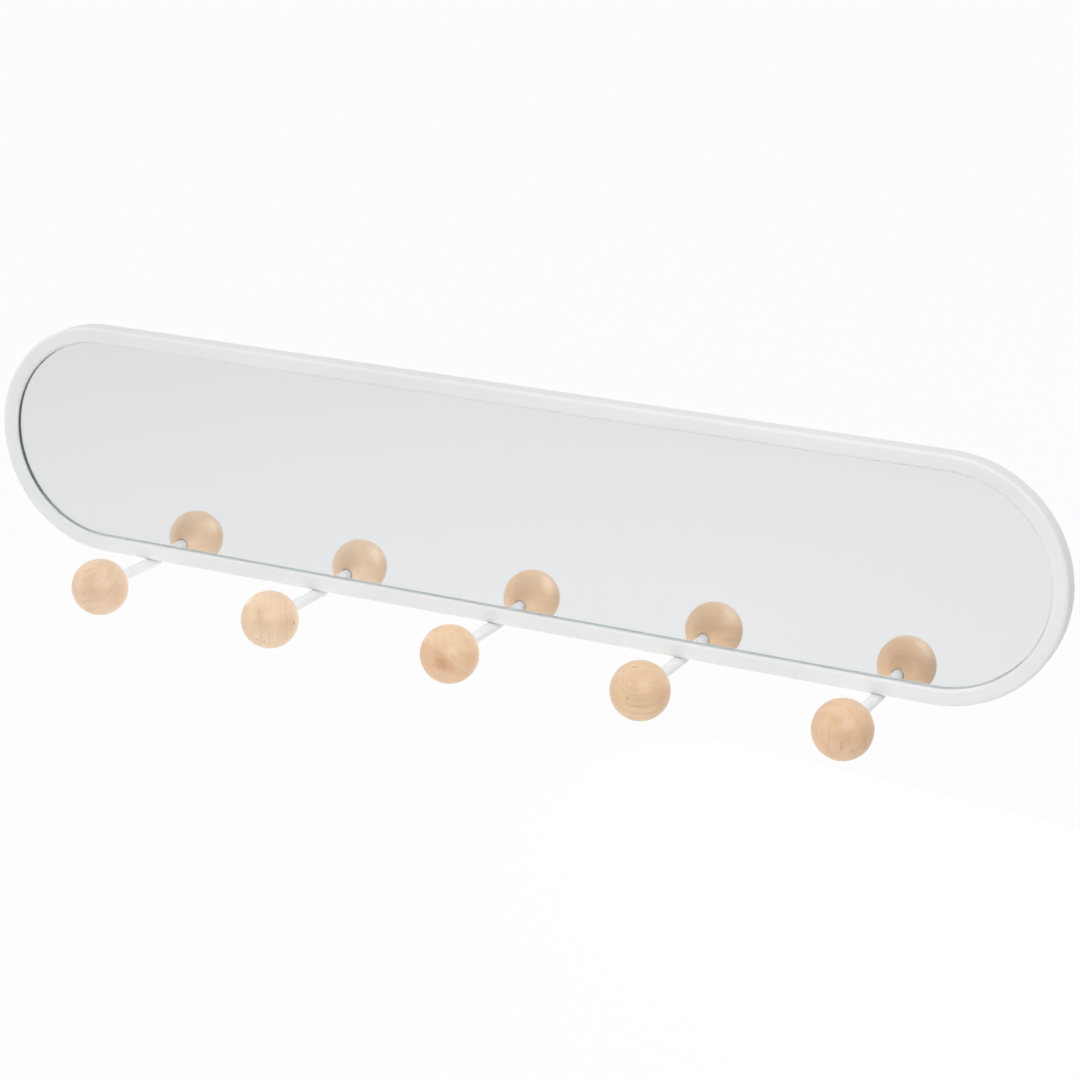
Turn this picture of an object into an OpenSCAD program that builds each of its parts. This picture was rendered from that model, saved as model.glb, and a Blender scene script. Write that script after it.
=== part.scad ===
// Wall mirror with five knob hooks: a long round-ended glass in a bent steel tube frame, with five
// bent rods under the lower rail that each end in a turned wooden ball. Sizes are millimetres.
// The wall is the plane y = 0, the front looks along -Y, +Z is up and +X runs to the right end.
// The origin lies on the wall, midway between the two keyholes that the mirror hangs from.

/* [Mirror outline] */
// Overall width over the frame, end to end
mirror_w = 800; // [600:1:1100]
// Overall height over the frame; both ends are half circles of this diameter
mirror_h = 168; // [136:1:240]

/* [Frame tube] */
// Width of the tube's face, seen from the front
tube_face = 11.5; // [9:0.5:16]
// Depth of the tube, front to back
tube_depth = 15; // [12:0.5:20]
// Steel thickness of the tube
tube_wall = 1.2; // [0.8:0.1:1.6]
// Outer radius of the tube's four corners
tube_corner = 2.5; // [2:0.1:3.5]
// Diameter of the two vent holes in the back of the lower rail
vent_d = 4; // [2:0.5:5]

/* [Glass] */
// Thickness of the glass
glass_t = 3; // [2:0.5:5]
// Ground chamfer round both edges of the glass
glass_arris = 0.2; // [0.1:0.1:0.8]
// Clearance all round between the glass and the tube
glass_gap = 0.15; // [0.1:0.05:1]
// How far the glass lies behind the tube's front face
glass_recess = 2.5; // [0.5:0.5:4]
// Thickness of the silver with its protective paint
silver_t = 0.2; // [0.1:0.05:0.4]

/* [Backing] */
// Thickness of the double-sided tape between the mirror and the board
tape_t = 1; // [0.5:0.1:2]
// Width of one strip of tape
tape_strip_w = 18; // [10:1:30]
// Distance between the tube and the outer strips
tape_edge = 18.5; // [4:0.5:24]
// Thickness of the backing board
board_t = 4; // [3.5:0.5:6]
// Clearance all round between the board and the tube
board_gap = 0.8; // [0.4:0.1:2]

/* [Board fixing] */
// Thickness of the steel tabs that are welded inside the tube
tab_t = 1.5; // [1:0.1:2]
// Length of a tab along the tube
tab_w = 18; // [14:1:26]
// How far a tab reaches in behind the board
tab_reach = 13; // [11:0.5:18]
// Distance of the outer rail tabs from where the rails start to curve
tab_inset = 101; // [60:1:150]
// Shank diameter of the board screws
screw_d = 3; // [2.5:0.1:3.5]
// Depth that the board screws reach into the board
screw_bite = 3; // [2:0.5:3.5]
// Head diameter of the board screws
screw_head_d = 6; // [5:0.1:7]
// Head height of the board screws
screw_head_h = 1.8; // [1.2:0.1:2.4]
// Radial clearance of the screws in the board
screw_clear = 0.05; // [0.02:0.01:0.1]
// Radial clearance of the screws in the tabs
tab_hole_clear = 0.25; // [0.1:0.05:0.5]

/* [Hook rods] */
// Distance of the outer hooks from where the rails start to curve
hook_inset = 38; // [15:1:90]
// Diameter of the round rods
rod_d = 8; // [6.5:0.1:10]
// Centre-line radius of the elbow behind the lower rail
rod_bend_r = 8; // [7:0.5:12]
// Straight length of the upright leg above the elbow
rod_leg = 10; // [8:0.5:20]
// Clearance between the upright legs and the wall
leg_wall_clear = 0.3; // [0.2:0.1:2]
// Distance from the wall to the middle of the balls
hook_reach = 85; // [70:1:120]
// Angle by which the rods rise towards the balls
hook_rise = 1.3; // [0:0.1:6]

/* [Balls] */
// Diameter of the wooden balls
ball_d = 40; // [32:1:50]
// Depth of the rod's shoulder below the back of the ball
ball_socket = 9; // [6:0.5:12]
// Radial clearance between the rod and the bore in the ball
bore_clear = 0.5; // [0.3:0.1:1.5]
// Length of the threaded insert
insert_l = 12; // [8:1:14]
// Thread diameter of the rod's tip
tip_d = 6; // [5:1:6]
// Length of the rod's threaded tip
tip_l = 11; // [7:0.5:12]
// Chamfer at the end of the tip
tip_chamfer = 0.6; // [0.3:0.1:1]
// Radial clearance between the insert and the bore, and between the tip and the insert
insert_clear = 0.05; // [0.03:0.01:0.1]
// Depth of the bore past the insert
bore_relief = 1; // [0.5:0.5:2]

/* [Keyhole hangers] */
// Distance of the two hangers from where the rails start to curve
hanger_inset = 36; // [20:1:90]
// Thickness of the hangers' sheet steel
hanger_t = 1.5; // [1:0.1:2]
// Inside radius of the hangers' bends
hanger_bend = 1.5; // [1:0.1:2]
// Width of a hanger
hanger_w = 30; // [24:1:40]
// Height of the hanger's foot on the back of the tube
hanger_foot = 6; // [4:0.5:8]
// Distance from the hanger's step down to the middle of the round entry hole
keyhole_drop = 21; // [18:0.5:28]
// Diameter of the round entry hole
keyhole_d = 9.5; // [8:0.1:11]
// Width of the slot above the entry hole
keyslot_w = 4.8; // [4:0.1:6]
// Height from the entry hole's middle to the middle of the slot's round end
keyslot_rise = 11; // [8:0.5:12]
// Height of sheet left below the middle of the entry hole
keyhole_land = 11; // [9:0.5:16]

/* [Bumpers] */
// Diameter of the rubber bumpers on the tube
bumper_d = 8; // [6:0.5:10]
// Diameter of the bumpers at the wall
bumper_tip_d = 6.6; // [5:0.1:9]

/* [Welds] */
// Radius of the weld beads beside the rods
bead_r = 1.8; // [1:0.1:2.2]
// Length of the beads under the rail
bead_l = 6; // [4:0.5:9]
// How far the middle of a bead lies inside the rod's side
bead_bite = 0.4; // [0.2:0.1:0.8]
// Length of a hanger's foot left bare at each end of its beads
bead_margin = 1; // [0.5:0.5:1.5]

/* [Hidden] */
$fn = 72;

// The round ends, and the straight rails between them
end_r = mirror_h / 2;
straight = mirror_w - mirror_h;

// A rod is one square bend, set at the rise, so its leg leans back to the wall. The elbow starts
// where the flat of the tube's underside ends, and its inside clears the tube's corner.
elbow_y = -leg_wall_clear - (rod_bend_r + rod_d / 2) * cos(hook_rise) - rod_leg * sin(hook_rise);

// Depths, from the wall to the front
tube_back = -elbow_y - min(tube_corner, rod_bend_r - rod_d / 2);
tube_front = tube_back + tube_depth;
glass_front = tube_front - glass_recess;
silver_front = glass_front - glass_t;
tape_front = silver_front - silver_t;
board_front = tape_front - tape_t;
tab_front = board_front - board_t;
head_front = tab_front - tab_t;

// Inner faces of the tube, and the middle of its face
tube_in_r = end_r - tube_face;
tube_mid_r = end_r - tube_face / 2;

// Spacing along the rails of the hooks, the hangers and the tabs
hook_count = 5;
hook_pitch = (straight - 2 * hook_inset) / (hook_count - 1);
hanger_x = straight / 2 - hanger_inset;
tab_x = straight / 2 - tab_inset;
tape_pitch = tube_in_r - tape_edge - tape_strip_w / 2;

// Side view of a hook, as [y, z]: the rod's top touches the tube's lower front corner
corner_at = [-tube_front + tube_corner, -end_r + tube_corner];
touch_at = corner_at - (tube_corner + rod_d / 2) * [sin(hook_rise), cos(hook_rise)];
elbow_z = touch_at[1] + (rod_bend_r - (elbow_y - touch_at[0]) * sin(hook_rise)) / cos(hook_rise);
elbow_end = [elbow_y, elbow_z] - rod_bend_r * [sin(hook_rise), cos(hook_rise)];
ball_at = [-hook_reach, touch_at[1] + (touch_at[0] + hook_reach) * tan(hook_rise)];
seat_at = ball_d / 2 - ball_socket;
rod_straight = norm(ball_at - elbow_end) - seat_at;
bore_d = rod_d + 2 * bore_clear;
bore_l = ball_socket + max(insert_l, tip_l) + bore_relief;

// Heights of the hanger's parts, measured from the middle of the mirror. Its step leaves the tube
// where the flat of the tube's back begins, and the middle lies below the keyholes at the origin.
hanger_step_z = tube_in_r + tube_corner - hanger_bend - hanger_t;
keyhole_z = hanger_step_z - keyhole_drop;
hanger_low = keyhole_z - keyhole_land;
mid_z = -keyhole_z;

// A part's own heights are measured from the middle of the mirror
module at_middle() { translate([0, 0, mid_z]) children(); }

// A flat shape drawn as the front is seen, from depth d towards the wall by t
module sheet(d, t) { translate([0, t - d, 0]) rotate([90, 0, 0]) linear_extrude(t) children(); }

// A flat shape drawn as the right side is seen, as [y, z], centred across w
module side_view(w) { rotate([90, 0, 90]) linear_extrude(w, center = true) children(); }

// A section carried round the outline, as a right and a left half. Its x is the distance from the
// outline's centre line and its y the distance from the wall.
module round_the_outline() {
    rotate([90, 0, 0]) for (s = [0, 1]) mirror([s, 0, 0]) {
        translate([straight / 2, 0, 0]) rotate([0, 0, -90]) rotate_extrude(angle = 180) children();
        for (t = [0, 1]) mirror([0, t, 0]) rotate([90, 0, 90]) linear_extrude(straight / 2) children();
    }
}

module rounded_rect(size, r) {
    translate([r, 0]) square([size[0] - 2 * r, size[1]]);
    translate([0, r]) square([size[0], size[1] - 2 * r]);
    for (x = [r, size[0] - r], y = [r, size[1] - r]) translate([x, y]) circle(r);
}

// A plate that fills the outline up to a gap inside the tube, from depth d towards the wall by t
module pill_plate(gap, d, t, arris = 0) {
    r = tube_in_r - gap;
    at_middle() round_the_outline()
        polygon([[0, d - t], [r - arris, d - t], [r, d - t + arris], [r, d - arris], [r - arris, d], [0, d]]);
}

// One rectangular tube, bent to the outline with its ends butt-welded and ground flush
module frame_tube() {
    bore = [tube_face - 2 * tube_wall, tube_depth - 2 * tube_wall];
    color("white") at_middle() difference() {
        round_the_outline() translate([tube_in_r, tube_back]) difference() {
            rounded_rect([tube_face, tube_depth], tube_corner);
            translate([tube_wall, tube_wall]) rounded_rect(bore, tube_corner - tube_wall);
        }
        for (s = [-1, 1]) translate([s * hook_pitch / 2, -tube_back - 1.5 * tube_wall, -tube_mid_r])
            rotate([-90, 0, 0]) cylinder(d = vent_d, h = 2 * tube_wall);
    }
}

module mirror_glass() {
    color("lightcyan", 0.5) pill_plate(glass_gap, glass_front, glass_t, glass_arris);
}

module mirror_silvering() {
    color("silver") pill_plate(glass_gap + glass_arris, silver_front, silver_t);
}

// Three strips of foam tape along the mirror
module mounting_tape() {
    color("whitesmoke") at_middle() sheet(tape_front, tape_t)
        for (i = [-1:1]) translate([0, i * tape_pitch]) square([straight, tape_strip_w], center = true);
}

// Places one piece at each of the eight board fixings: six on the rails and two in the ends
module each_board_fixing() {
    at = tube_in_r - tab_reach / 2;
    for (x = [-tab_x, 0, tab_x], s = [-1, 1]) translate([x, 0, s * at]) children();
    for (s = [-1, 1]) translate([s * (straight / 2 + at), 0, 0]) children();
}

// A round pin or hole at a board fixing, from depth d towards the front by l
module board_bar(dia, d, l) { translate([0, -d, 0]) rotate([90, 0, 0]) cylinder(d = dia, h = l); }

module backing_board() {
    color("burlywood") difference() {
        pill_plate(board_gap, board_front, board_t);
        at_middle() each_board_fixing()
            board_bar(screw_d + 2 * screw_clear, head_front, tab_t + screw_bite + screw_clear);
    }
}

// Tabs behind the board: flat ones on the rails, and ones that follow the curve in the ends
module board_tabs() {
    end_angle = tab_w / tube_in_r * 180 / PI;
    color("white") at_middle() difference() {
        union() {
            for (x = [-tab_x, 0, tab_x], s = [0, 1])
                mirror([0, 0, s]) translate([x - tab_w / 2, -tab_front, tube_in_r - tab_reach])
                    cube([tab_w, tab_t, tab_reach]);
            for (s = [0, 1])
                mirror([s, 0, 0]) translate([straight / 2, -head_front, 0]) rotate([90, 0, 0])
                    rotate([0, 0, -end_angle / 2]) board_end_tab(end_angle);
        }
        each_board_fixing() board_bar(screw_d + 2 * tab_hole_clear, head_front - tab_t, 3 * tab_t);
    }
}

module board_end_tab(angle) {
    rotate_extrude(angle = angle) translate([tube_in_r - tab_reach, 0]) square([tab_reach, tab_t]);
}

// Pan-head screws from the back, through the tabs into the board
module board_screws() {
    color("silver") at_middle() each_board_fixing() {
        board_bar(screw_d, head_front, tab_t + screw_bite);
        board_bar(screw_head_d, head_front - screw_head_h, screw_head_h);
    }
}

// Places one piece at each hook, or at the hooks whose numbers are given
module each_hook(numbers = [1:hook_count]) {
    for (i = numbers) translate([(i - (hook_count + 1) / 2) * hook_pitch, 0, 0]) at_middle() children();
}

// The middle of the ball, with +Z along the rod towards the wall
module at_ball() { translate([0, ball_at[0], ball_at[1]]) rotate([-90 - hook_rise, 0, 0]) children(); }

// One bent rod: upright leg, elbow, straight arm, and a shouldered, threaded tip inside the ball
module hook_rod(number) { color("white") each_hook([number]) bent_rod(); }

module bent_rod() {
    translate([0, elbow_y, elbow_z]) rotate([90, 0, 90]) rotate([0, 0, -hook_rise]) {
        translate([rod_bend_r, 0, 0]) rotate([-90, 0, 0]) cylinder(d = rod_d, h = rod_leg);
        rotate([0, 0, -90]) rotate_extrude(angle = 90) translate([rod_bend_r, 0]) circle(d = rod_d);
        translate([0, -rod_bend_r, 0]) rotate([0, -90, 0]) rod_arm();
    }
}

// The arm along +Z from the elbow's end
module rod_arm() {
    cylinder(d = rod_d, h = rod_straight);
    translate([0, 0, rod_straight]) cylinder(d = tip_d, h = tip_l - tip_chamfer);
    translate([0, 0, rod_straight + tip_l - tip_chamfer])
        cylinder(d1 = tip_d, d2 = tip_d - 2 * tip_chamfer, h = tip_chamfer);
}

// A turned ball with a blind bore, wider than the rod, that shows as a thin ring round it
module hook_ball(number) {
    color("bisque") each_hook([number]) at_ball() difference() {
        sphere(d = ball_d);
        translate([0, 0, ball_d / 2 - bore_l]) cylinder(d = bore_d, h = bore_l + 1);
    }
}

// Threaded inserts that the rods' shoulders sit on
module ball_inserts() {
    color("goldenrod") each_hook() at_ball() translate([0, 0, seat_at - insert_l]) difference() {
        cylinder(d = bore_d - 2 * insert_clear, h = insert_l);
        translate([0, 0, -1]) cylinder(d = tip_d + 2 * insert_clear, h = insert_l + 2);
    }
}

// Beads that join each rod to the rail: two behind it beside the leg, and two under it
module hook_welds() {
    bead_x = rod_d / 2 - bead_bite;
    bead_top = -tube_in_r - tube_corner;
    back_l = min(rod_leg, bead_top - elbow_z);
    under_z = -end_r - bead_r / 2;
    color("white") each_hook() difference() {
        for (s = [-1, 1]) {
            translate([s * bead_x, -tube_back + bead_r / 2, elbow_z]) cylinder(r = bead_r, h = back_l);
            translate([s * bead_x, -tube_back - tube_corner, under_z])
                rotate([90, 0, 0]) cylinder(r = bead_r, h = bead_l);
        }
        bent_rod();
        translate([-rod_d, -tube_front, -end_r]) cube([2 * rod_d, tube_depth, tube_face]);
    }
}

// Sheet steel hanger: a foot on the back of the upper rail, a step to the wall and a keyhole plate
module keyhole_hanger(side) {
    step_r = hanger_bend + hanger_t;
    foot_z = hanger_step_z + step_r;
    color("white") at_middle() translate([side * hanger_x, 0, 0]) {
        side_view(hanger_w) {
            translate([-tube_back, foot_z]) square([hanger_t, hanger_foot]);
            translate([-tube_back + step_r, foot_z]) quarter_bend(180);
            translate([-tube_back + step_r, hanger_step_z]) square([tube_back - 2 * step_r, hanger_t]);
            translate([-step_r, hanger_step_z - hanger_bend]) quarter_bend(0);
        }
        sheet(hanger_t, hanger_t) keyhole_plate(hanger_step_z - hanger_bend);
    }
}

// A quarter of a bend in the sheet, from a start angle on
module quarter_bend(start) {
    step_r = hanger_bend + hanger_t;
    intersection() {
        difference() {
            circle(step_r);
            circle(hanger_bend);
        }
        rotate(start) square(step_r);
    }
}

// The plate with its round entry hole and the slot that the screw's shank rises in
module keyhole_plate(top) {
    corner = hanger_w / 5;
    difference() {
        union() {
            translate([-hanger_w / 2, hanger_low + corner]) square([hanger_w, top - hanger_low - corner]);
            translate([-hanger_w / 2 + corner, hanger_low]) square([hanger_w - 2 * corner, corner]);
            for (s = [-1, 1]) translate([s * (hanger_w / 2 - corner), hanger_low + corner]) circle(corner);
        }
        translate([0, keyhole_z]) circle(d = keyhole_d);
        translate([-keyslot_w / 2, keyhole_z]) square([keyslot_w, keyslot_rise]);
        translate([0, keyhole_z + keyslot_rise]) circle(d = keyslot_w);
    }
}

module keyhole_hanger_left() { keyhole_hanger(-1); }
module keyhole_hanger_right() { keyhole_hanger(1); }

// Short quarter-round fillets between the tube and both edges of each hanger's foot
module hanger_welds() {
    bead_z = tube_in_r + tube_corner + bead_margin;
    color("white") at_middle() for (h = [-1, 1], s = [-1, 1])
        translate([h * hanger_x + s * hanger_w / 2, -tube_back, bead_z]) rotate([0, 0, 90 - 45 * (1 + s)])
            rotate_extrude(angle = 90) square([hanger_t, hanger_foot - 2 * bead_margin]);
}

// Rubber bumpers on the lower rail that hold the foot of the mirror off the wall
module wall_bumpers() {
    color("dimgray") at_middle() for (s = [-1, 1])
        translate([s * 1.5 * hook_pitch, -tube_back, -tube_mid_r]) rotate([-90, 0, 0])
            cylinder(d1 = bumper_d, d2 = bumper_tip_d, h = tube_back);
}

frame_tube();
mirror_glass();
mirror_silvering();
mounting_tape();
backing_board();
board_tabs();
board_screws();
hook_rod(1);  // hook_rod_1
hook_rod(2);  // hook_rod_2
hook_rod(3);  // hook_rod_3
hook_rod(4);  // hook_rod_4
hook_rod(5);  // hook_rod_5
hook_ball(1);  // hook_ball_1
hook_ball(2);  // hook_ball_2
hook_ball(3);  // hook_ball_3
hook_ball(4);  // hook_ball_4
hook_ball(5);  // hook_ball_5
ball_inserts();
hook_welds();
keyhole_hanger_left();
keyhole_hanger_right();
hanger_welds();
wall_bumpers();
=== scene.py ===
"""Wall mirror with five knob hooks: materials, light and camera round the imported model."""

import math

import bmesh
import bpy
from mathutils import Matrix, Vector


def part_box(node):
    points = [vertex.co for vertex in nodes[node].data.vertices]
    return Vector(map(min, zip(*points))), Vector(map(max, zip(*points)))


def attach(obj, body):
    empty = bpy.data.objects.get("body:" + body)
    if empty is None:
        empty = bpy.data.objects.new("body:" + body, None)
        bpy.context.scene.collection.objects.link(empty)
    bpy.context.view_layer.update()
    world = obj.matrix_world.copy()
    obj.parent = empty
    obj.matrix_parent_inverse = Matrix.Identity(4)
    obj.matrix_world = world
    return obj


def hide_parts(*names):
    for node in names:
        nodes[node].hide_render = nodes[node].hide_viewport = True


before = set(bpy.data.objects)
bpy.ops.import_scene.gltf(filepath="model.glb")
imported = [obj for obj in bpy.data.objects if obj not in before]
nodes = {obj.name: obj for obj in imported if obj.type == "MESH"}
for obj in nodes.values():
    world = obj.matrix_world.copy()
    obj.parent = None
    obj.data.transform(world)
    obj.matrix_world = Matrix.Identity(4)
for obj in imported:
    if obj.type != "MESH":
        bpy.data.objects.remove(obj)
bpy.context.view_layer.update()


# ---- Frame tube -------------------------------------------------------------------------------
# A rectangular mild steel tube bent to a long ring, its ends butt-welded and ground flush. The
# whole weldment is sprayed with one coat of satin white epoxy-polyester powder and baked.
MM_PER_M, TUBE_FACE_MM, CROWN_MM = 1000.0, 11.5, 0.5


def box_mm(node):
    """The lowest and highest corners of a CAD node, in millimetres."""
    return [corner * MM_PER_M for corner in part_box(node)]


def linear(hex_colour):
    """The linear colour of an sRGB hex value."""
    srgb = [int(hex_colour[i : i + 2], 16) / 255 for i in (1, 3, 5)]
    return [c / 12.92 if c <= 0.04045 else ((c + 0.055) / 1.055) ** 2.4 for c in srgb] + [1.0]


def add(tree, kind, inputs=(), stops=(), **settings):
    """Adds a shader node. Its inputs, by name or in their order, are values, sockets, or nodes,
    which feed it from their first output in use."""
    node = tree.nodes.new("ShaderNode" + kind)
    for name, value in settings.items():
        setattr(node, name, value)
    in_use = [socket for socket in node.inputs if socket.enabled]
    for key, feed in inputs.items() if isinstance(inputs, dict) else enumerate(inputs):
        socket = in_use[key] if isinstance(key, int) else node.inputs[key]
        if isinstance(feed, bpy.types.Node):
            feed = next(output for output in feed.outputs if output.enabled)
        if isinstance(feed, bpy.types.NodeSocket):
            tree.links.new(feed, socket)
        else:
            socket.default_value = feed
    for i, (place, colour) in enumerate(stops):
        stop = node.color_ramp.elements[i] if i < 2 else node.color_ramp.elements.new(place)
        stop.position = place
        stop.color = linear(colour)
    return node


def new_material(name):
    """An empty node material, its tree, and the object's place in millimetres."""
    material = bpy.data.materials.new(name)
    material.use_nodes = True
    tree = material.node_tree
    tree.nodes.clear()
    place = add(tree, "TexCoord").outputs["Object"]
    return material, tree, add(tree, "VectorMath", (place, MM_PER_M), operation="SCALE")


def coat(name, *materials):
    """Gives a CAD node its materials in place of its plain one, and returns its mesh."""
    mesh = nodes[name].data
    mesh.materials.clear()
    for material in materials:
        mesh.materials.append(material)
    return mesh


# Powder flows to a faint orange peel, about 2 mm from crest to crest and a few hundredths high,
# over a fine grain that is drawn coarser than it is, so that it shows. That breaks up the sheen
# of the flats, and thick and thin spots shift the white. The crown shades the tube's front as if
# it were very slightly round, as the real one is. The heights of reliefs are in metres.
PEEL_MM, GRAIN_MM, CLOUD_MM, PEEL_HIGH, GRAIN_HIGH = 2.2, 0.45, 70, 0.00003, 0.00001


def powder_coat(name, crown=0.0):
    """Satin white powder coat. A crown, in mm over the tube's width, rounds the tube's front."""
    material, tree, mm = new_material(name)
    peel = add(tree, "TexNoise", {"Vector": mm, "Scale": 1 / PEEL_MM, "Detail": 2.0})
    fine = add(tree, "TexNoise", {"Vector": mm, "Scale": 1 / GRAIN_MM, "Detail": 1.0})
    cloud = add(tree, "TexNoise", {"Vector": mm, "Scale": 1 / CLOUD_MM, "Detail": 3.0})
    white = add(tree, "ValToRGB", {"Fac": cloud}, stops=[(0.3, "#E5E7E7"), (0.7, "#EAEBEB")])
    sheen = add(tree, "MapRange", {"Value": peel, "To Min": 0.5, "To Max": 0.62})
    relief = add(tree, "Bump", {"Height": fine, "Strength": 0.5, "Distance": GRAIN_HIGH})
    relief = add(tree, "Bump", {
        "Height": peel, "Strength": 0.6, "Distance": PEEL_HIGH, "Normal": relief})
    if crown:
        # How far a place lies from the middle of the tube's front, across the ring.
        low, high = box_mm("frame_tube")
        half_wide, half_high = (high.x - low.x) / 2, (high.z - low.z) / 2
        middle = (0, 0, (low.z + high.z) / 2)
        inwards = add(tree, "VectorMath", (mm, middle), operation="SUBTRACT")
        inwards = add(tree, "VectorMath", (inwards,), operation="ABSOLUTE")
        straight = (half_wide - half_high, 0, 0)
        inwards = add(tree, "VectorMath", (inwards, straight), operation="SUBTRACT")
        inwards = add(tree, "VectorMath", (inwards, (0, 0, 0)), operation="MAXIMUM")
        inwards = add(tree, "VectorMath", (inwards, (1, 0, 1)), operation="MULTIPLY")
        ring = add(tree, "VectorMath", (inwards,), operation="LENGTH")
        across = add(tree, "Math", (ring, half_high - TUBE_FACE_MM / 2), operation="SUBTRACT")
        height = add(tree, "Math", (across, across), operation="MULTIPLY")
        fall = -crown * 4 / TUBE_FACE_MM ** 2
        height = add(tree, "Math", (height, fall), operation="MULTIPLY")
        relief = add(tree, "Bump", {
            "Height": height, "Strength": 1.0, "Distance": 1 / MM_PER_M, "Normal": relief})
    add(tree, "OutputMaterial", {"Surface": add(tree, "BsdfPrincipled", {
        "Base Color": white, "Roughness": sheen, "Normal": relief, "IOR": 1.5})})
    return material


coat("frame_tube", powder_coat("satin white powder coat on the crowned tube", CROWN_MM))


# ---- Rods, hangers and tabs -------------------------------------------------------------------
# Bent 8 mm rods and stamped sheet hangers and tabs, welded to the tube before it was sprayed.
# They carry the same coat as the tube.
RODS = [f"hook_rod_{number}" for number in range(1, 6)]
HANGERS = ["keyhole_hanger_left", "keyhole_hanger_right"]
powder = powder_coat("satin white powder coat on steel")
for name in ["board_tabs", *HANGERS, *RODS]:
    coat(name, powder)
# Stamping and the coat leave no sharp edge on the sheet steel.
EDGE_ROUND, EDGE_ANGLE = 0.0003, 0.7
for name in ["board_tabs", *HANGERS]:
    rounded = nodes[name].modifiers.new("rounded edges", "BEVEL")
    rounded.width, rounded.segments = EDGE_ROUND, 2
    rounded.limit_method, rounded.angle_limit = "ANGLE", EDGE_ANGLE


# ---- Weld beads -------------------------------------------------------------------------------
# Short arc-welded beads: two behind and two under each rod, and one beside each edge of a
# hanger's foot. The arc leaves them rippled, and the coat runs over them.

# In millimetres, with turns as shares of a whole one. The ripple's depth and the width that a
# bead's tip keeps are shares of its radius.
ROD_R, TUBE_CORNER, BITE, ELBOW_DEEP, HANGER_MARGIN = 4, 2.5, 0.4, 5.226, 1
BEAD_R, HANGER_BEAD_R, BACK_BEAD_L, UNDER_BEAD_L, HANGER_BEAD_L = 1.8, 1.5, 5.2, 6, 4
RIPPLE_MM, RIPPLE_DEEP, ROUND_END, TIP_KEPT = 0.9, 0.12, 0.9, 0.05
BEAD_SIDES, RINGS_A_RIPPLE = 20, 8
WHOLE, LEFT_QUARTER, RIGHT_QUARTER = (0, 1), (0.25, 0.5), (0, 0.25)


def skin(name, tubes, material, node):
    """A smooth piece that stands for a CAD node. Each tube is a list of rings of points, in mm."""
    form = bmesh.new()
    for rings in tubes:
        rows = [[form.verts.new(Vector(point) / MM_PER_M) for point in ring] for ring in rings]
        for row, following in zip(rows, rows[1:]):
            for i in range(len(row)):
                form.faces.new((row[i - 1], row[i], following[i], following[i - 1]))
        form.faces.new(rows[0])
        form.faces.new(reversed(rows[-1]))
    bmesh.ops.recalc_face_normals(form, faces=form.faces)
    mesh = bpy.data.meshes.new(name)
    form.to_mesh(mesh)
    form.free()
    mesh.shade_smooth()
    mesh.materials.append(material)
    piece = bpy.data.objects.new(name, mesh)
    bpy.context.scene.collection.objects.link(piece)
    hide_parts(node)
    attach(piece, "root")


def bead(start, along, length, radius, turn=WHOLE):
    """One bead's rings, round its line or over a part of a turn, which its middle closes."""
    start, along, across = Vector(start), Vector(along), Vector((1, 0, 0))
    out = along.cross(across)
    first, share = turn[0], turn[1] - turn[0]
    angles = [math.tau * (first + share * k / BEAD_SIDES)
              for k in range(BEAD_SIDES + (turn != WHOLE))]
    steps = int(length / RIPPLE_MM * RINGS_A_RIPPLE)
    rings = []
    for step in range(steps + 1):
        at = length * step / steps
        from_end = min(at, length - at, ROUND_END) / ROUND_END
        ripple = 1 - RIPPLE_DEEP * (1 - abs(math.sin(math.pi * at / RIPPLE_MM)))
        r = radius * max(math.sqrt(1 - (1 - from_end) ** 2), TIP_KEPT) * ripple
        middle = start + along * at
        ring = [middle + r * (math.cos(a) * across + math.sin(a) * out) for a in angles]
        rings.append(ring if turn == WHOLE else ring + [middle])
    return rings


# The back beads start at the elbows, and the ones under the rail end at the tube's corner.
tube_low, tube_high = box_mm("frame_tube")
back_y, back_z = tube_high.y + BEAD_R / 2, box_mm("hook_welds")[1].z - ELBOW_DEEP
under_y, under_z = tube_high.y - TUBE_CORNER - UNDER_BEAD_L, tube_low.z - BEAD_R / 2
beads = []
for name in RODS:
    low, high = box_mm(name)
    for side in (BITE - ROD_R, ROD_R - BITE):
        x = (low.x + high.x) / 2 + side
        beads.append(bead((x, back_y, back_z), (0, 0, 1), BACK_BEAD_L, BEAD_R))
        beads.append(bead((x, under_y, under_z), (0, 1, 0), UNDER_BEAD_L, BEAD_R))
skin("hook_weld_beads", beads, powder, "hook_welds")

beads = []
for name in HANGERS:
    low, high = box_mm(name)
    foot_z = high.z - HANGER_MARGIN - HANGER_BEAD_L
    for x, turn in ((low.x, LEFT_QUARTER), (high.x, RIGHT_QUARTER)):
        beads.append(bead((x, tube_high.y, foot_z), (0, 0, 1), HANGER_BEAD_L, HANGER_BEAD_R, turn))
skin("hanger_weld_beads", beads, powder, "hanger_welds")


# ---- Mirror glass -----------------------------------------------------------------------------
# A 3 mm sheet of float glass, cut to fit inside the ring, its edge ground and seamed, and silvered
# on its back. Its front lies where the tube's rounded corner ends.

# Float glass is clear and all but colourless seen through its face.
clear_glass, tree, mm = new_material("clear float glass")
add(tree, "OutputMaterial", {"Surface": add(tree, "BsdfPrincipled", {
    "Base Color": linear("#FCFDFC"), "Transmission Weight": 1.0, "Roughness": 0.0, "IOR": 1.52})})

# Seen through the front, the ground edge is a thin greenish line. Its ramp is painted light: paler
# along the rails as if lit from above, with painted shade at the left end. The grit is drawn
# coarser than it is, so that it shows.
ground_edge_painted_light, tree, mm = new_material("ground glass edge, painted light")
GRIT_MM, GRIT_SHARE = 0.3, 0.2
grit = add(tree, "TexNoise", {"Vector": mm, "Scale": 1 / GRIT_MM, "Detail": 2.0})
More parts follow.
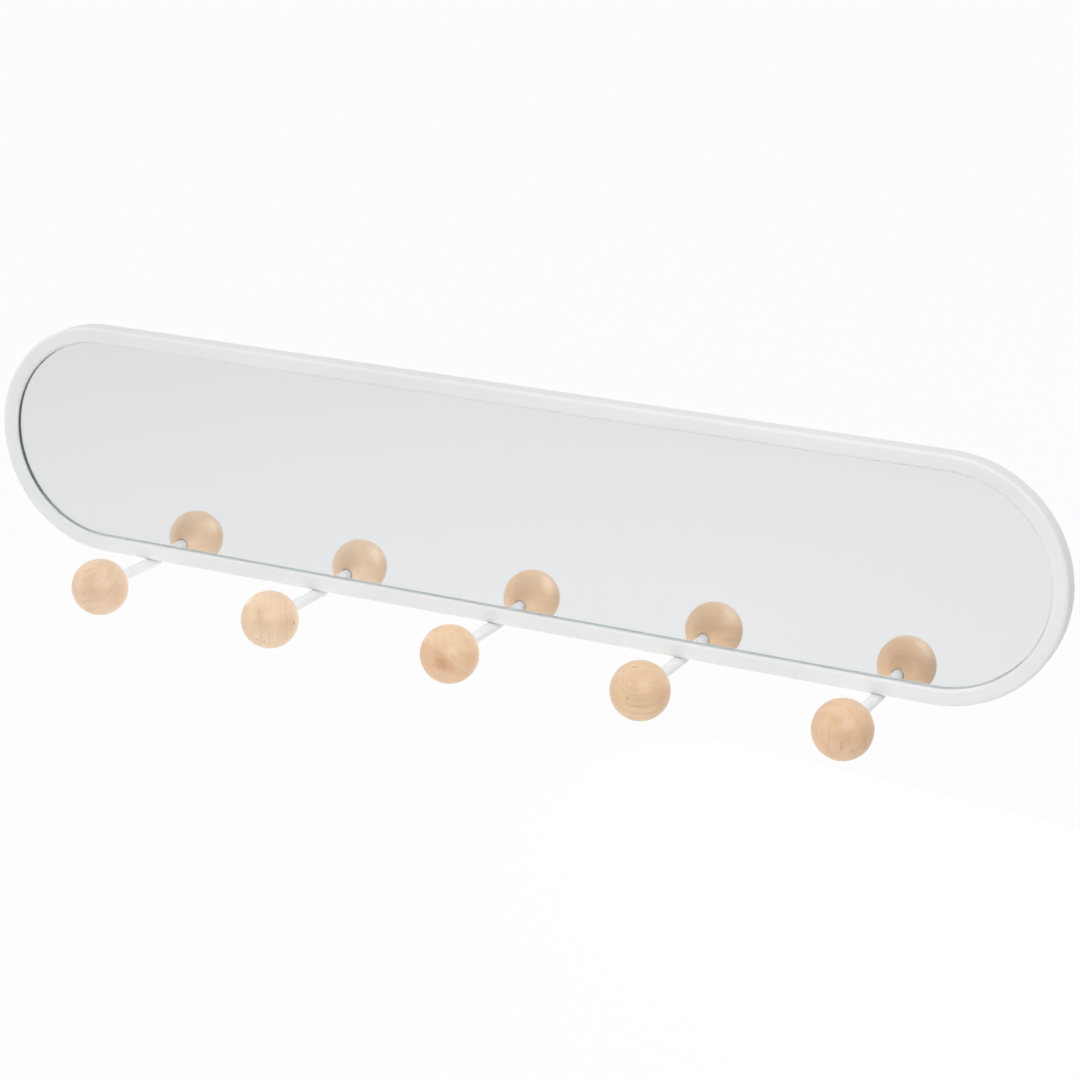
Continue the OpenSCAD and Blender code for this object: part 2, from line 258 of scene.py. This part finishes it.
# From the tip of the left end, in painted shade, to where its curve meets the rails.
low, high = box_mm("mirror_glass")
along = add(tree, "MapRange", {
    "Value": add(tree, "SeparateXYZ", (mm,)).outputs["X"],
    "From Min": low.x, "From Max": low.x + (high.z - low.z) / 2})
along = add(tree, "Math", (grit, GRIT_SHARE, along), operation="MULTIPLY_ADD")
# The ramp runs from painted shade at the left end to painted light along the rails.
edge_green_painted_light = add(tree, "ValToRGB", {"Fac": along}, stops=[
    (0.1, "#4C545A"), (0.23, "#727C7F"), (0.4, "#A3ADAD"), (0.6, "#CCD6D5"), (1.0, "#EAF4F2")])
add(tree, "OutputMaterial", {"Surface": add(tree, "BsdfPrincipled", {
    "Base Color": edge_green_painted_light, "Roughness": 0.6, "IOR": 1.52})})

# Silver and its paint lie on the back of the glass. Silver under glass sends back about four
# fifths of the light, a little cooler than it came.
silver, tree, mm = new_material("silver behind glass")
add(tree, "OutputMaterial", {"Surface": add(tree, "BsdfPrincipled", {
    "Base Color": linear("#ECEDF0"), "Metallic": 1.0, "Roughness": 0.0})})

# The paint is sprayed thin, and dries with a fine mottle.
paint, tree, mm = new_material("grey mirror-backing paint")
SPRAY_MM = 1.2
spray = add(tree, "TexNoise", {"Vector": mm, "Scale": 1 / SPRAY_MM, "Detail": 3.0})
grey = add(tree, "ValToRGB", {"Fac": spray}, stops=[(0.3, "#6E7A7C"), (0.7, "#7C888A")])
add(tree, "OutputMaterial", {"Surface": add(tree, "BsdfPrincipled", {
    "Base Color": grey, "Roughness": 0.55, "IOR": 1.5})})

# The front and the seam round it are clear, the back is silver, and the rest is the ground edge.
# The normals of the front and back point straight out, and the seam's is at 45 degrees.
STRAIGHT, SLANTED = 0.9, 0.5
for face in coat("mirror_glass", clear_glass, silver, ground_edge_painted_light).polygons:
    outwards = face.normal.y
    face.material_index = 0 if outwards < -SLANTED else 1 if outwards > STRAIGHT else 2
for face in coat("mirror_silvering", silver, paint).polygons:
    face.material_index = 0 if face.normal.y < -STRAIGHT else 1
# The silver is drawn on the back of the glass. The coating behind it is shrunk by a hair, so that
# its front doesn't lie in the same plane.
HAIR = 0.00004
shrink = nodes["mirror_silvering"].modifiers.new("shrink", "DISPLACE")
shrink.strength, shrink.mid_level = -HAIR, 0.0


# ---- Mounting tape ----------------------------------------------------------------------------
# Strips of white double-sided foam tape hold the mirror to its board. Closed-cell foam shows
# fine round pores where its edge is cut.
foam, tree, mm = new_material("white closed-cell foam tape")
FOAM_PORE_MM = 0.6
pores = add(tree, "TexVoronoi", {"Vector": mm, "Scale": 1 / FOAM_PORE_MM})
foam_white = add(tree, "ValToRGB", {"Fac": pores}, stops=[(0.1, "#D6D6D2"), (0.5, "#EDEDEA")])
add(tree, "OutputMaterial", {"Surface": add(tree, "BsdfPrincipled", {
    "Base Color": foam_white, "Roughness": 0.85, "IOR": 1.5})})
coat("mounting_tape", foam)


# ---- Backing board ----------------------------------------------------------------------------
# Hardboard, pressed from steamed wood fibre. Its back keeps the print of the wire screen that
# it was pressed on, with loose dark fibres among the pale ones.
hardboard, tree, mm = new_material("pressed hardboard, screen side")
SCREEN_MM, FIBRE_MM, PRESS_MM, FIBRE_SHARE, PRINT_DEEP = 2.4, 0.9, 35, 0.45, 0.0001
pressed = add(tree, "TexNoise", {"Vector": mm, "Scale": 1 / PRESS_MM, "Detail": 4.0})
fibre = add(tree, "TexNoise", {
    "Vector": mm, "Scale": 1 / FIBRE_MM, "Detail": 6.0, "Distortion": 1.5})
axes = add(tree, "SeparateXYZ", (mm,))
wires = []
for axis in ("X", "Z"):
    waves = add(tree, "Math", (axes.outputs[axis], math.tau / SCREEN_MM), operation="MULTIPLY")
    wires.append(add(tree, "Math", (waves,), operation="SINE"))
screen = add(tree, "Math", wires, operation="MULTIPLY")
brown = add(tree, "ValToRGB", {"Fac": pressed}, stops=[(0.3, "#8A6545"), (0.7, "#9A7350")])
strands = add(tree, "ValToRGB", {"Fac": fibre}, stops=[
    (0.3, "#5D4029"), (0.45, "#A17B56"), (0.75, "#C09B72")])
board_brown = add(tree, "Mix", (FIBRE_SHARE, brown, strands), data_type="RGBA")
relief = add(tree, "Bump", {"Height": screen, "Strength": 0.5, "Distance": PRINT_DEEP})
relief = add(tree, "Bump", {
    "Height": fibre, "Strength": 0.5, "Distance": PRINT_DEEP, "Normal": relief})
add(tree, "OutputMaterial", {"Surface": add(tree, "BsdfPrincipled", {
    "Base Color": board_brown, "Roughness": 0.7, "IOR": 1.5, "Normal": relief})})
coat("backing_board", hardboard)


# ---- Board screws -----------------------------------------------------------------------------
# Zinc-plated steel pan-head screws with a cross recess, driven from the back through the tabs.
# Clear-passivated zinc is a bluish grey with a soft mottle, drawn coarser than it is, so that it
# shows.
zinc, tree, mm = new_material("zinc-plated steel")
MOTTLE_MM = 0.8
mottle = add(tree, "TexVoronoi", {"Vector": mm, "Scale": 1 / MOTTLE_MM})
bright = add(tree, "ValToRGB", {"Fac": mottle}, stops=[(0.0, "#AEB3B8"), (0.8, "#C6CACD")])
rough = add(tree, "MapRange", {"Value": mottle, "To Min": 0.28, "To Max": 0.42})
add(tree, "OutputMaterial", {"Surface": add(tree, "BsdfPrincipled", {
    "Base Color": bright, "Metallic": 1.0, "Roughness": rough})})

# In millimetres. The thread is a core with a crest on it, and the head is domed with the recess
# in it. The point starts at a share of the thread's radius, and the recess's floor rises by one.
HEAD_R, HEAD_H, SHANK_L, CORE_R, CREST, PITCH_MM = 3.0, 1.8, 4.5, 1.12, 0.38, 1.1
POINT_SHARE, POINT_SLOPE, CREST_SLOPE = 0.45, 0.5, 2.4
DOME_R, DOME_EDGE_R, DOME_FALL, CENTRE_R = 2.3, 2.05, 0.32, 0.02
RECESS_R, RECESS_DEEP, RECESS_RISE, ARM_HALF, ARM_SLOPE, END_SLOPE = 1.6, 1.1, 0.3, 0.46, 0.12, 0.2
SCREW_SIDES, SHANK_RINGS, DOME_RINGS = 48, 45, 24
# Radius and height of the neck and of the head's rounded side.
HEAD_SIDE = ((1.3, 0), (2.75, 0), (2.95, 0.1), (3.0, 0.3), (2.98, 0.65), (2.87, 1.0),
             (2.65, 1.27), (DOME_R, 1.48))
screws_low, screws_high = box_mm("board_screws")
head_front_y = screws_high.y - HEAD_H


def pan_head_screw(x, z, turned):
    """Rings of one screw: the thread up from its tip, the head's side, the dome and recess."""
    rings = []
    for step in range(SHANK_RINGS + 1):
        up = SHANK_L * step / SHANK_RINGS
        point = min(1.0, POINT_SHARE + up * POINT_SLOPE)
        ring = []
        for k in range(SCREW_SIDES):
            off_crest = abs(((up - SHANK_L) / PITCH_MM + k / SCREW_SIDES) % 1 - 0.5)
            r = point * (CORE_R + CREST * max(0, 1 - CREST_SLOPE * off_crest))
            ring.append((r, up - SHANK_L))
        rings.append(ring)
    rings += [[side] * SCREW_SIDES for side in HEAD_SIDE]
    for step in range(DOME_RINGS):
        r = DOME_EDGE_R * (1 - step / DOME_RINGS) + CENTRE_R
        ring = []
        for k in range(SCREW_SIDES):
            from_arm = (math.tau * k / SCREW_SIDES + math.pi / 4) % (math.pi / 2) - math.pi / 4
            across_arm = min(1, max(0, (ARM_HALF - r * abs(math.sin(from_arm))) / ARM_SLOPE))
            along_arm = min(1, max(0, (RECESS_R - r) / END_SLOPE))
            deep = RECESS_DEEP * (1 - RECESS_RISE * r / RECESS_R)
            dome = HEAD_H - DOME_FALL * (r / DOME_R) ** 2
            ring.append((r, dome - across_arm * along_arm * deep))
        rings.append(ring)
    return [[(x + r * math.cos(math.tau * k / SCREW_SIDES + turned), head_front_y + y,
              z + r * math.sin(math.tau * k / SCREW_SIDES + turned))
             for k, (r, y) in enumerate(ring)] for ring in rings]


# One screw at each end, three along each rail, and each is stopped at its own turn.
RAIL_PITCH, FIRST_TURN, NEXT_TURN = 215, 0.6, 1.9
left, right = screws_low.x + HEAD_R, screws_high.x - HEAD_R
bottom, top = screws_low.z + HEAD_R, screws_high.z - HEAD_R
middle_z = (screws_low.z + screws_high.z) / 2
screw_places = [
    (left, middle_z), (-RAIL_PITCH, top), (0, top), (RAIL_PITCH, top),
    (right, middle_z), (RAIL_PITCH, bottom), (0, bottom), (-RAIL_PITCH, bottom)]
skin("pan_head_screws",
     [pan_head_screw(x, z, FIRST_TURN + NEXT_TURN * n) for n, (x, z) in enumerate(screw_places)],
     zinc, "board_screws")


# ---- Balls ------------------------------------------------------------------------------------
# Solid balls turned from a pale, close-grained hardwood such as beech, sanded and given a clear
# satin lacquer. Each was cut from the plank its own way, so the grain runs differently in each.

# Beech shows faint year rings, soft streaks along the grain and short darker flecks, all close in
# tone. The lacquer adds a weak sheen that pales the edges. Patterns are drawn out along the grain,
# which is the third direction of the place that they are read from.
RING_MM, STREAK_MM, FLECK_MM, PORE_MM, BLOTCH_MM, WAVE_MM = 3.4, 1.6, 0.9, 0.25, 14, 18
WAVE_WIDE, KNOT_PUSH, HEART_RAGGED, MARK_RAGGED, PORE_DEEP = 8, 6.0, 3.0, 0.6, 0.00002


def turned_beech(number, grain_along, pith, pale, dark, marks=(), knot=None, heart=None):
    """Beech for one ball: the line of its grain, the middle of its year rings in mm from its own,
    marks (direction, length along the grain, width, colour, strength), and where it has them a
    knot (direction, radius) and a darker heartwood side (direction, mm from the middle). A
    direction is that in which the place lies from the ball's middle."""
    low, high = box_mm(f"hook_ball_{number}")
    radius = (high.z - low.z) / 2
    middle = Vector(((low.x + high.x) / 2, low.y + radius, (low.z + high.z) / 2))
    turn = Vector(grain_along).normalized().rotation_difference(Vector((0, 0, 1)))
    material, tree, mm = new_material(f"turned beech, satin lacquer, ball {number}")
    local = add(tree, "VectorMath", (mm, middle), operation="SUBTRACT")
    straight = add(tree, "Mapping", {
        "Vector": local, "Rotation": turn.to_euler(), "Location": -(turn @ Vector(pith))})

    # The grain runs in slow waves, up to a few millimetres to each side.
    slow = add(tree, "VectorMath", (straight, (1, 1, 0.35)), operation="MULTIPLY")
    slow = add(tree, "TexNoise", {"Vector": slow, "Scale": 1 / WAVE_MM, "Detail": 2.0})
    slow = slow.outputs["Color"]
    wave = add(tree, "VectorMath", (slow, (0.5, 0.5, 0.5)), operation="SUBTRACT")
    grain = add(tree, "VectorMath", (wave, (WAVE_WIDE, WAVE_WIDE, 0), straight),
                operation="MULTIPLY_ADD")
    if knot:
        # The fibres bend round a knot, so the pattern is pushed out from the knot's axis.
        axis, knot_r = Vector(knot[0]).normalized(), knot[1]
        along = add(tree, "VectorMath", (local, axis), operation="DOT_PRODUCT")
        on_axis = add(tree, "VectorMath", (axis, along), operation="SCALE")
        from_axis = add(tree, "VectorMath", (local, on_axis), operation="SUBTRACT")
        from_axis = add(tree, "VectorMath", (from_axis,), operation="LENGTH")
        push = add(tree, "MapRange", {
            "Value": from_axis, "From Min": knot_r * 2.2, "From Max": knot_r * 0.5,
            "To Max": KNOT_PUSH})
        push = add(tree, "VectorMath", ((1, 0.6, 0), push), operation="SCALE")
        grain = add(tree, "VectorMath", (grain, push), operation="ADD")

    # Year rings round the pith, then streaks, flecks and blotches, darken the pale wood.
    from_pith = add(tree, "VectorMath", (grain, (1, 1, 0)), operation="MULTIPLY")
    from_pith = add(tree, "VectorMath", (from_pith,), operation="LENGTH")
    years = add(tree, "TexNoise", {"W": from_pith, "Scale": 1 / RING_MM, "Detail": 1.0},
                noise_dimensions="1D")
    tone = add(tree, "MapRange", {
        "Value": years, "From Min": 0.45, "From Max": 0.65, "To Min": 0.05, "To Max": 0.2})
    streaked = add(tree, "VectorMath", (grain, (1, 1, 0.08)), operation="MULTIPLY")
    flecked = add(tree, "VectorMath", (grain, (1, 0.6, 0.16)), operation="MULTIPLY")
    for place, size, detail, pale_at, dark_at, share in (
            (streaked, STREAK_MM, 3.0, 0.38, 0.68, 0.18),
            (flecked, FLECK_MM, 1.0, 0.68, 0.76, 0.25),
            (local, BLOTCH_MM, 2.0, 0.35, 0.68, 0.3)):
        spots = add(tree, "TexNoise", {"Vector": place, "Scale": 1 / size, "Detail": detail})
        spots = add(tree, "MapRange", {"Value": spots, "From Min": pale_at, "From Max": dark_at})
        tone = add(tree, "Math", (spots, share, tone), operation="MULTIPLY_ADD")
    colour = add(tree, "Mix", (tone, linear(pale), linear(dark)), data_type="RGBA")

    # Steamed beech blushes in long patches.
    blush = add(tree, "VectorMath", (grain, (1, 1, 0.3)), operation="MULTIPLY")
    blush = add(tree, "TexNoise", {"Vector": blush, "Scale": 2 / BLOTCH_MM, "Detail": 1.0})
    blush = add(tree, "MapRange", {
        "Value": blush, "From Min": 0.42, "From Max": 0.7, "To Max": 0.35})
    colour = add(tree, "Mix", (blush, colour, linear("#E3BB9F")), data_type="RGBA")
    if heart:
        edge = add(tree, "VectorMath", (slow, HEART_RAGGED), operation="SCALE")
        edge = add(tree, "VectorMath", (local, edge), operation="ADD")
        edge = add(tree, "VectorMath", (edge, Vector(heart[0]).normalized()),
                   operation="DOT_PRODUCT")
        edge = add(tree, "MapRange", {
            "Value": edge, "From Min": heart[1] + 1.0, "From Max": heart[1] + 2.6,
            "To Max": 0.35})
        colour = add(tree, "Mix", (edge, colour, linear(dark)), data_type="RGBA")
    if knot:
        # Tight rings round the knot's axis, on the side that it comes out of.
        rings = add(tree, "VectorMath", (grain, (1, 1, 0.5)), operation="MULTIPLY")
        rings = add(tree, "VectorMath", (rings,), operation="LENGTH")
        rings = add(tree, "Math", (rings, 2.6), operation="MULTIPLY")
        rings = add(tree, "Math", (rings,), operation="SINE")
        rings = add(tree, "MapRange", {
            "Value": rings, "From Min": -0.4, "From Max": 1.0, "To Min": 0.3, "To Max": 0.6})
        inside = add(tree, "MapRange", {
            "Value": from_axis, "From Min": knot_r * 1.3, "From Max": knot_r * 0.4})
        inside = add(tree, "Math", (inside, rings), operation="MULTIPLY")
        facing = add(tree, "Math", (along, 0.0), operation="GREATER_THAN")
        inside = add(tree, "Math", (inside, facing), operation="MULTIPLY")
        colour = add(tree, "Mix", (inside, colour, linear("#C28B62")), data_type="RGBA")
    for towards, length, width, figure_or_highlight_tint, strength in marks:
        # A long soft spot with a ragged edge, laid along the grain on one side of the ball. Most
        # are
        #         # darker figure in the wood; a pale one is a painted highlight.
        towards = Vector(towards).normalized()
        height = add(tree, "VectorMath", (local, towards), operation="DOT_PRODUCT")
        offset = add(tree, "VectorMath", (towards, height), operation="SCALE")
        offset = add(tree, "VectorMath", (local, offset), operation="SUBTRACT")
        offset = add(tree, "Mapping", {"Vector": offset, "Rotation": turn.to_euler()})
        offset = add(tree, "VectorMath", (offset, (2 / width, 2 / width, 2 / length)),
                     operation="MULTIPLY")
        ragged = add(tree, "VectorMath", (slow, MARK_RAGGED), operation="SCALE")
        near = add(tree, "VectorMath", (offset, ragged), operation="ADD")
        near = add(tree, "VectorMath", (near,), operation="LENGTH")
        near = add(tree, "MapRange", {
            "Value": near, "From Min": 1.5, "From Max": 0.3, "To Max": strength})
        facing = add(tree, "MapRange", {"Value": height, "From Min": 0, "From Max": radius / 4})
        near = add(tree, "Math", (near, facing), operation="MULTIPLY")
        colour = add(tree, "Mix", (near, colour, linear(figure_or_highlight_tint)), data_type="RGBA")

    pores = add(tree, "VectorMath", (grain, (1, 1, 0.1)), operation="MULTIPLY")
    pores = add(tree, "TexNoise", {"Vector": pores, "Scale": 1 / PORE_MM, "Detail": 2.0})
    lacquer = add(tree, "MapRange", {
        "Value": pores, "From Min": 0.3, "From Max": 0.7, "To Min": 0.42, "To Max": 0.52})
    relief = add(tree, "Bump", {"Height": pores, "Strength": 0.4, "Distance": PORE_DEEP})
    add(tree, "OutputMaterial", {"Surface": add(tree, "BsdfPrincipled", {
        "Base Color": colour, "Roughness": lacquer, "IOR": 1.5,
        "Coat Weight": 0.4, "Coat Roughness": 0.3, "Normal": relief})})
    coat(f"hook_ball_{number}", material)


turned_beech(1, (0.72, 0.50, 0.47), (14, 10, -38), "#EACEB1", "#D5AF89", marks=(
    ((-0.02, -1, 0.06), 9, 1.4, "#C79B74", 0.5),
    ((-0.03, -0.94, -0.33), 11, 1.6, "#C79B74", 0.45),
    ((0, -0.56, 0.83), 9, 1.8, "#CBA27D", 0.5),
    ((0.16, -0.97, -0.18), 3, 0.9, "#B58660", 0.4)))
turned_beech(2, (0.12, -0.25, 0.96), (34, 14, 0), "#EED4B5", "#DAB38D", marks=(
    ((1, -0.05, 0.08), 5, 1.3, "#7B573B", 0.8),
    ((0.02, -0.9, -0.44), 1.6, 1.2, "#8A6445", 0.7),
    ((0.29, -0.82, -0.49), 1.3, 1.2, "#9A7352", 0.6),
    ((0.08, -0.84, 0.54), 2, 1, "#A9805F", 0.5),
    ((0.22, -0.9, -0.36), 14, 1.3, "#CDA27C", 0.4),
    ((0.5, -0.83, -0.27), 12, 1.2, "#CDA27C", 0.4)))
turned_beech(3, (0.62, 0.3, -0.72), (-30, 0, -34), "#EDCFAB", "#D7A97F",
             knot=((0.15, -0.99, -0.02), 4.2), heart=((-0.425, -0.521, -0.741), -1.2), marks=(
    ((0.3, -0.94, -0.14), 17, 7, "#CE9A72", 0.5),
    ((-0.1, -0.98, -0.12), 7, 0.8, "#A87A55", 0.5)))
turned_beech(4, (0.91, 0.42, 0), (0, 14, -44), "#E6C7A2", "#D0A57D", marks=(
    ((-0.1, -0.37, 0.92), 11, 1.3, "#98704F", 0.7),
    ((-0.01, -1, 0.05), 2.8, 2.6, "#B0875F", 0.5),
    ((0.38, -0.91, -0.18), 17, 1.3, "#C0926A", 0.4),
    ((0.42, -0.78, -0.45), 24, 1.5, "#C0926A", 0.4),
    ((0.08, -0.66, -0.75), 20, 1.8, "#C0926A", 0.4),
    # This last, pale mark is a painted highlight: the small gloss reflection high on the ball's
    # front.
    ((-0.02, -0.86, 0.52), 1.5, 3, "#F3DDC4", 0.5)))
turned_beech(5, (-0.02, 0.1, 1), (10, 36, 0), "#E7C5A1", "#CDA17A", marks=(
    ((0.31, -0.93, -0.2), 26, 2.2, "#C58F69", 0.45),
    ((0.62, -0.72, -0.35), 24, 2, "#C58F69", 0.4),
    ((-0.15, -0.92, -0.38), 12, 4.5, "#BF9069", 0.35),
    ((0.92, -0.35, -0.18), 22, 1.8, "#C58F69", 0.4),
    ((-0.1, -0.95, 0.1), 30, 2, "#CA9C75", 0.3),
    ((0.31, -0.91, -0.28), 12, 1, "#B57A54", 0.5)))


# ---- Threaded inserts -------------------------------------------------------------------------
# Brass inserts pressed into the balls' bores, which take the rods' threaded tips. Plain brass
# dulls to a soft yellow-brown.
brass, tree, mm = new_material("plain brass")
DULL_MM = 1.5
dull = add(tree, "TexNoise", {"Vector": mm, "Scale": 1 / DULL_MM, "Detail": 3.0})
yellow = add(tree, "ValToRGB", {"Fac": dull}, stops=[(0.3, "#B08D4A"), (0.7, "#D3B270")])
add(tree, "OutputMaterial", {"Surface": add(tree, "BsdfPrincipled", {
    "Base Color": yellow, "Metallic": 1.0, "Roughness": 0.35})})
coat("ball_inserts", brass)


# ---- Wall bumpers -----------------------------------------------------------------------------
# Moulded grey rubber bumpers, stuck to the back of the lower rail. Soft rubber is matt, and
# picks up a little dust.
rubber, tree, mm = new_material("moulded grey rubber")
DUST_MM = 0.7
dust = add(tree, "TexNoise", {"Vector": mm, "Scale": 1 / DUST_MM, "Detail": 4.0})
rubber_grey = add(tree, "ValToRGB", {"Fac": dust}, stops=[(0.35, "#727272"), (0.7, "#888886")])
add(tree, "OutputMaterial", {"Surface": add(tree, "BsdfPrincipled", {
    "Base Color": rubber_grey, "Roughness": 0.8, "IOR": 1.5})})

# Radius and height of the turned outline of a bumper 10 mm tall: stuck foot, lip, tapering side,
# rounded rim, hollow top.
OUTLINE = ((3.5, 0), (3.7, 0.08), (3.72, 0.35), (3.9, 0.4), (4.0, 0.6), (4.0, 1.1), (3.88, 1.35),
           (3.8, 1.8), (3.6, 4.5), (3.42, 7.2), (3.34, 8.6), (3.3, 9.15), (3.16, 9.6), (2.9, 9.9),
           (2.6, 10.0), (2.2, 10.0), (1.9, 9.93), (1.2, 9.72), (0.5, 9.62), (0.05, 9.6))
FOOT_R, OUTLINE_TALL, BUMPER_SIDES = 4, 10, 48
low, high = box_mm("wall_bumpers")
middle_z, stretch = (low.z + high.z) / 2, (high.y - low.y) / OUTLINE_TALL
corners = [math.tau * k / BUMPER_SIDES for k in range(BUMPER_SIDES)]
skin("rubber_bumpers", [
    [[(x + r * math.cos(a), low.y + up * stretch, middle_z + r * math.sin(a)) for a in corners]
     for r, up in OUTLINE] for x in (low.x + FOOT_R, high.x - FOOT_R)],
    rubber, "wall_bumpers")


# ---- Stage, light and camera ------------------------------------------------------------------
# A pale floor well below the hanging mirror, under an even sky, lit by five large soft lamps. The
# camera sees the floor and the sky as white, and so do the mirror and the glass.
FLOOR_Z, FLOOR_SIZE = -1.25, 60.0
mesh = bpy.data.meshes.new("floor")
form = bmesh.new()
bmesh.ops.create_grid(form, x_segments=1, y_segments=1, size=FLOOR_SIZE / 2)
form.to_mesh(mesh)
form.free()
floor = bpy.data.objects.new("floor", mesh)
floor.location.z = FLOOR_Z
bpy.context.scene.collection.objects.link(floor)


def seen_as_white(tree):
    """1 where the camera, the mirror or the glass sees the stage, and 0 where it gives light."""
    path = add(tree, "LightPath")
    seen = add(tree, "Math", (path.outputs["Is Camera Ray"], path.outputs["Is Glossy Ray"]),
               operation="MAXIMUM")
    return add(tree, "Math", (seen, path.outputs["Is Transmission Ray"]), operation="MAXIMUM")


# A little of the floor stays matt where it is seen, so that it keeps the shadow. Its glow holds a
# painted
# pool of light: the mirror sees it bright round one place and a little duller away from there,
# which paints shade across the mirror's face.
GLOW_SHARE, POOL_AT, POOL_FROM, POOL_TO, POOL_DULL = 0.97, (-1.1, -2.8, 0), 0.3, 2.5, 0.89
floor_white, tree, mm = new_material("pale studio floor")
matt = add(tree, "BsdfDiffuse", {"Color": linear("#F4F4F4")})
from_pool = add(tree, "VectorMath", (add(tree, "TexCoord").outputs["Object"], POOL_AT),
                operation="DISTANCE")
painted_light_pool = add(tree, "MapRange", {
    "Value": from_pool, "From Min": POOL_FROM, "From Max": POOL_TO,
    "To Min": 1.0, "To Max": POOL_DULL})
level = add(tree, "Math", (painted_light_pool, add(tree, "LightPath").outputs["Is Camera Ray"]),
            operation="MAXIMUM")
glow = add(tree, "Emission", {"Color": linear("#FFFFFF"), "Strength": level})
white_floor = add(tree, "MixShader", (GLOW_SHARE, matt, glow))
add(tree, "OutputMaterial", {
    "Surface": add(tree, "MixShader", (seen_as_white(tree), matt, white_floor))})
mesh.materials.append(floor_white)

SKY = 0.27
world = bpy.data.worlds.new("studio")
world.use_nodes = True
bpy.context.scene.world = world
tree = world.node_tree
tree.nodes.clear()
level = add(tree, "MapRange", {"Value": seen_as_white(tree), "To Min": SKY, "To Max": 1.0})
add(tree, "OutputWorld", {"Surface": add(tree, "Background", {
    "Color": linear("#FFFFFF"), "Strength": level})})

# The renderer loses much of the light that the mirror throws forward, so a weak lamp that nothing
# sees lies on the glass, and gives it back to the balls and to the inner edge of the tube. Only
# the front lamp shows in the coat and the lacquer, and the low one would show through the seam of
# the glass as a white line, so the glass doesn't see it.
MIDDLE, LAMP_GAP = Vector((0, 0, -0.05)), 0.0005
low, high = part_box("mirror_glass")
on_glass = Vector((0, low.y - LAMP_GAP, (low.z + high.z) / 2))
for name, place, target, size, watts in (
        ("front softbox", (1.3, -1.7, 1.4), MIDDLE, (2.4, 1.6), 41.0),
        ("left softbox", (-2.5, -0.65, 0.25), MIDDLE, (1.8, 1.8), 33.0),
        ("top softbox", (0, 0, 2.6), MIDDLE, (1.6, 1.6), 21.5),
        ("low softbox", (0, -0.4, -1.07), MIDDLE, (1.0, 1.0), 4.5),
        ("back softbox", (0.25, 2.35, -1.1), MIDDLE, (2.0, 2.0), 75.0),
        ("mirror bounce", on_glass, on_glass - Vector((0, 1, 0)), (0.7, 0.14), 0.13)):
    lamp = bpy.data.lights.new(name, "AREA")
    lamp.shape, lamp.size, lamp.size_y, lamp.energy = "RECTANGLE", *size, watts
    softbox = bpy.data.objects.new(name, lamp)
    softbox.location = place
    softbox.rotation_euler = (target - softbox.location).to_track_quat("-Z", "Y").to_euler()
    softbox.visible_camera = False
    softbox.visible_glossy = name == "front softbox"
    softbox.visible_transmission = name not in ("low softbox", "mirror bounce")
    bpy.context.scene.collection.objects.link(softbox)

# The camera stands to the right of the mirror and above it, as in the photograph. Its yaw to the
# left, pitch down and roll are in radians, and its focal length is in pixels of the photograph.
CAMERA_AT = Vector((0.7889, -1.6530, 0.5289))
YAW, PITCH, ROLL, FOCAL_PX, IMAGE_PX, SENSOR_MM = 0.4327, 0.32159, 0.02474, 2799.3, 1080, 36.0
forward = Vector((-math.sin(YAW) * math.cos(PITCH), math.cos(YAW) * math.cos(PITCH),
                  -math.sin(PITCH)))
right = forward.cross(Vector((0, 0, 1))).normalized()
up = right.cross(forward)
right, up = (math.cos(ROLL) * right + math.sin(ROLL) * up,
             math.cos(ROLL) * up - math.sin(ROLL) * right)
lens = bpy.data.cameras.new("camera")
lens.sensor_width, lens.lens = SENSOR_MM, SENSOR_MM * FOCAL_PX / IMAGE_PX
lens.clip_start, lens.clip_end = 0.05, 100.0
camera = bpy.data.objects.new("camera", lens)
camera.matrix_world = (Matrix.Translation(CAMERA_AT)
                       @ Matrix((right, up, -forward)).transposed().to_4x4())
bpy.context.scene.collection.objects.link(camera)
bpy.context.scene.camera = camera
bpy.context.scene.view_settings.view_transform = "Standard"
